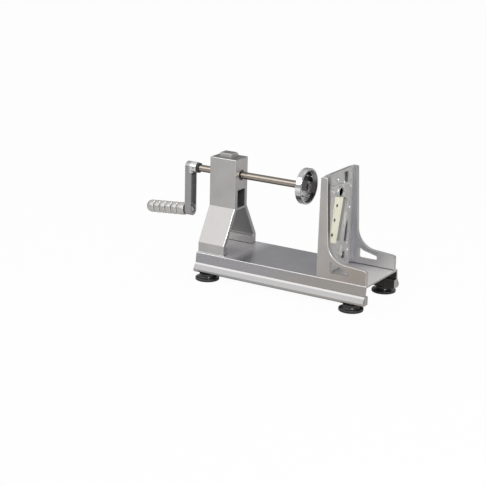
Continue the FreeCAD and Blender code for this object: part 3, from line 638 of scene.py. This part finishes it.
def linked(name, shape, body, slot, finish=None):
    mesh = bpy.data.meshes.new(name)
    shape.to_mesh(mesh)
    shape.free()
    piece = bpy.data.objects.new(name, mesh)
    bpy.context.scene.collection.objects.link(piece)
    mesh.materials.append(finishes[finish or slot])
    mesh.shade_smooth()
    mesh.set_sharp_from_angle(angle=sharpAngle)
    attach(piece, body)
    return piece


# A half outline of (along, radius) points, spun about a line. A hollow piece's outline closes on itself.
def turned(outline, centre, axis, steps, hollow=False):
    shape = bmesh.new()
    across = axis.orthogonal().normalized()
    corners = [shape.verts.new(centre + axis * along + across * radius) for along, radius in outline]
    for first, second in zip(corners, corners[1:]):
        shape.edges.new((first, second))
    if hollow:
        shape.edges.new((corners[-1], corners[0]))
    bmesh.ops.spin(shape, geom=shape.verts[:] + shape.edges[:], cent=centre, axis=axis, angle=math.tau,
                   steps=steps, use_merge=True)
    bmesh.ops.remove_doubles(shape, verts=shape.verts, dist=1e-6)
    bmesh.ops.recalc_face_normals(shape, faces=shape.faces)
    return shape


# Angles over a quarter turn, both ends included
def quarter(steps):
    return [math.pi / 2 * step / steps for step in range(steps + 1)]


# Feet: moulded suction pads with a lip, a groove round the side, a dome and a collar under the toe.
# The rim's points are heights and how far they lie inside the radius, the collar's are heights from the top
# and radii.
footLook = {
    "steps": 96, "domeSteps": 8, "neck": 0.015, "neckFrom": 0.0092,
    "rim": [(0.0, 0.0009), (0.00036, 0.00018), (0.0009, 0.0), (0.0018, 0.0), (0.00207, 0.0006),
            (0.00252, 0.0006), (0.00279, 0.0), (0.0044, 0.0), (0.0049, 0.0004)],
    "domeLow": 0.0053, "domeHigh": 0.0086, "domeInset": 0.001, "domeEnd": 0.0158,
    "collar": [(-0.0018, 0.015), (-0.0014, 0.0158), (-0.0003, 0.0158), (0.0, 0.01548), (0.0, 0.0)],
}


def makeFoot(node):
    low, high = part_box(node)
    centre = Vector(((low.x + high.x) / 2, (low.y + high.y) / 2, 0))
    radius = (high.x - low.x) / 2
    outline = [(0.0, 0.0)] + [(height, radius - inset) for height, inset in footLook["rim"]]
    for angle in quarter(footLook["domeSteps"]):
        climb = (footLook["domeHigh"] - footLook["domeLow"]) * (1 - math.cos(angle))
        reach = (radius - footLook["domeInset"] - footLook["domeEnd"]) * (1 - math.sin(angle))
        outline.append((footLook["domeLow"] + climb, footLook["domeEnd"] + reach))
    outline.append((footLook["neckFrom"], footLook["neck"]))
    outline += [(high.z + height, collar) for height, collar in footLook["collar"]]
    piece = linked(node.replace("_", " ").title().replace(" ", "") + "Pad",
                   turned(outline, centre, zAxis, footLook["steps"]), "base", "black_rubber")
    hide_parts(node)


for side in ("front", "rear"):
    for end in ("left", "right"):
        makeFoot(f"{side}_{end}_foot")
print("feet made")


# Grip: soft rings with rounded grooves between them, and a bull nose with a recess for the spindle's head
gripShape = {
    "nearEnd": 0.04695, "rings": (0.017, 0.01435, 0.01435, 0.01435, 0.01435), "last": 0.019, "crest": 0.0131,
    "shoulder": 0.0127, "valley": 0.0116, "groove": 0.0021, "nose": 0.011, "tip": 0.0068, "recess": 0.0056,
    "recessDepth": 0.004, "bore": 0.00408, "chamfer": 0.0003, "mouth": 0.0008, "steps": 112, "ringSteps": 18,
    "lastSteps": 7, "lastStretch": 1.4, "noseSteps": 12, "noseRun": 0.002, "noseDrop": 0.0001,
}


def ringRadius(fromEnd, length):
    shape = gripShape
    edge = min(fromEnd, length - fromEnd)
    if edge < shape["groove"]:
        rise = edge / shape["groove"]
        return shape["valley"] + (shape["shoulder"] - shape["valley"]) * rise * rise * (3 - 2 * rise)
    run = (edge - shape["groove"]) / (length / 2 - shape["groove"])
    return shape["shoulder"] + (shape["crest"] - shape["shoulder"]) * math.sin(math.pi / 2 * run)


def makeGrip():
    shape = gripShape
    right = shape["nearEnd"]
    outline = [(right, shape["bore"]), (right, shape["valley"] - shape["mouth"]),
               (right - shape["chamfer"], shape["valley"])]
    for length in shape["rings"]:
        for step in range(1, shape["ringSteps"]):
            away = length * (0.5 - 0.5 * math.cos(math.pi * step / shape["ringSteps"]))
            outline.append((right - away, ringRadius(away, length)))
        right -= length
        outline.append((right, shape["valley"]))
    for step in range(1, shape["lastSteps"] + 1):
        away = shape["groove"] * step / shape["lastSteps"]
        outline.append((right - away, ringRadius(away, shape["last"] * shape["lastStretch"])))
    tip = right - shape["last"]
    crest = shape["crest"] - shape["noseDrop"]
    outline.append((tip + shape["nose"] + shape["noseRun"], crest))
    for angle in quarter(shape["noseSteps"]):
        outline.append((tip + shape["nose"] * (1 - math.sin(angle)),
                        shape["tip"] + (crest - shape["noseDrop"] - shape["tip"]) * math.cos(angle)))
    outline += [(tip, shape["recess"] + shape["chamfer"]), (tip + shape["chamfer"], shape["recess"]),
                (tip + shape["recessDepth"], shape["recess"]), (tip + shape["recessDepth"], shape["bore"])]
    piece = linked("ringedGrip", turned(outline, gripCentre, gripAxis, shape["steps"], hollow=True),
                   "crank_grip", "grip_aluminium")
    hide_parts("grip")


makeGrip()
print("grip made")


# Small polished caps where the mould's pins and the ribs' ends stand out of the blade plate
capLook = {
    "radius": 0.0025, "height": 0.0018, "foot": -0.0004, "steps": 28, "rings": 6, "plateFront": 0.009,
    "places": [(-0.0141, 0.1816), (-0.0306, 0.1607), (0.0366, 0.1164), (0.0354, 0.0306), (0.038, 0.1597),
               (0.0315, 0.0455), (0.0106, 0.0276), (0.0102, 0.1722)],
}


def makeCaps():
    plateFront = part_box("blade_plate")[0].x + capLook["plateFront"]
    caps = bmesh.new()
    outline = [(capLook["foot"], 0.0), (capLook["foot"], capLook["radius"])]
    outline += [(capLook["height"] * math.sin(angle), capLook["radius"] * math.cos(angle))
                for angle in quarter(capLook["rings"])[:-1]]
    outline.append((capLook["height"], 0.0))
    for y, height in capLook["places"]:
        foot = Vector((plateFront, y, railHigh.z + height))
        cap = turned(outline, foot, xAxis, capLook["steps"])
        mesh = bpy.data.meshes.new("cap")
        cap.to_mesh(mesh)
        cap.free()
        caps.from_mesh(mesh)
        bpy.data.meshes.remove(mesh)
    linked("plateCaps", caps, "plate", "blade_steel", "cap_steel")


makeCaps()
print("caps made")


# Studio: a pale floor and a pale world, a wide soft key from the front left, a fill from the front right
# and a soft top light
studioLook = {
    "middleHeight": 0.1,
    "floorColour": (0.62, 0.62, 0.62),
    "floorRoughness": 0.9,
    "floorSpecular": 0.1,
    "floorSize": 14.0,
    "floorSeen": 0.965,
    "wallLevel": 0.24,
    "ceilingLevel": 0.80,
    "wallTop": 0.20,
    "ceilingClimb": 0.70,
    "metalShare": 0.12,
    "lamps": [
        {"name": "key", "towards": (-0.50, -0.67, 0.60), "distance": 2.6, "size": 1.9, "power": 11.5},
        {"name": "fill", "towards": (0.72, -0.60, 0.50), "distance": 2.8, "size": 1.0, "power": 46.0},
        {"name": "top", "towards": (0.1, 0.2, 1.0), "distance": 2.4, "size": 1.6, "power": 7.0},
    ],
}


# How far the white background shows: in full to the camera and through glass, in part in polished metal
def whiteShare(finish, look):
    rays = {name: finish.node("LightPath", output=name)
            for name in ("Is Camera Ray", "Is Glossy Ray", "Is Transmission Ray")}
    return finish.clamp(rays["Is Camera Ray"] + rays["Is Glossy Ray"] * look["metalShare"]
                        + rays["Is Transmission Ray"])


def makeFloor(look):
    shape = bmesh.new()
    bmesh.ops.create_grid(shape, x_segments=1, y_segments=1, size=look["floorSize"])
    mesh = bpy.data.meshes.new("floor")
    shape.to_mesh(mesh)
    shape.free()
    floor = bpy.data.objects.new("floor", mesh)
    bpy.context.scene.collection.objects.link(floor)
    material, finish = newFinish("paleFloor")
    paper = finish.node("BsdfPrincipled", None, {
        "Base Color": (*look["floorColour"], 1), "Roughness": look["floorRoughness"],
        "Specular IOR Level": look["floorSpecular"]})
    white = finish.node("Emission", None, {"Color": (1, 1, 1, 1), "Strength": 1.0})
    mixed = finish.node("MixShader", None, {
        0: whiteShare(finish, look) * look["floorSeen"], 1: paper, 2: white})
    finish.node("OutputMaterial", None, {"Surface": mixed})
    mesh.materials.append(material)


def makeWorld(look):
    world = bpy.data.worlds.new("studio")
    bpy.context.scene.world = world
    finish = Finish(world)
    upward = finish.split(finish.node("TexCoord", output="Generated"))[2]
    climb = finish.over(upward, look["wallTop"], look["ceilingClimb"])
    room = look["wallLevel"] + climb * (look["ceilingLevel"] - look["wallLevel"])
    sky = finish.node("Background", None, {
        "Color": (1, 1, 1, 1), "Strength": room + whiteShare(finish, look) * (1 - room)})
    finish.node("OutputWorld", None, {"Surface": sky})


def makeLamps(look):
    middle = Vector((railMiddle, 0, look["middleHeight"]))
    for lamp in look["lamps"]:
        light = bpy.data.lights.new(lamp["name"], "AREA")
        light.shape = "DISK"
        light.size = lamp["size"]
        light.energy = lamp["power"]
        holder = bpy.data.objects.new(lamp["name"], light)
        bpy.context.scene.collection.objects.link(holder)
        direction = Vector(lamp["towards"]).normalized()
        holder.location = middle + direction * lamp["distance"]
        holder.rotation_euler = direction.to_track_quat("Z", "Y").to_euler()


makeFloor(studioLook)
makeWorld(studioLook)
makeLamps(studioLook)
bpy.context.scene.view_settings.view_transform = "Standard"
print("studio made")
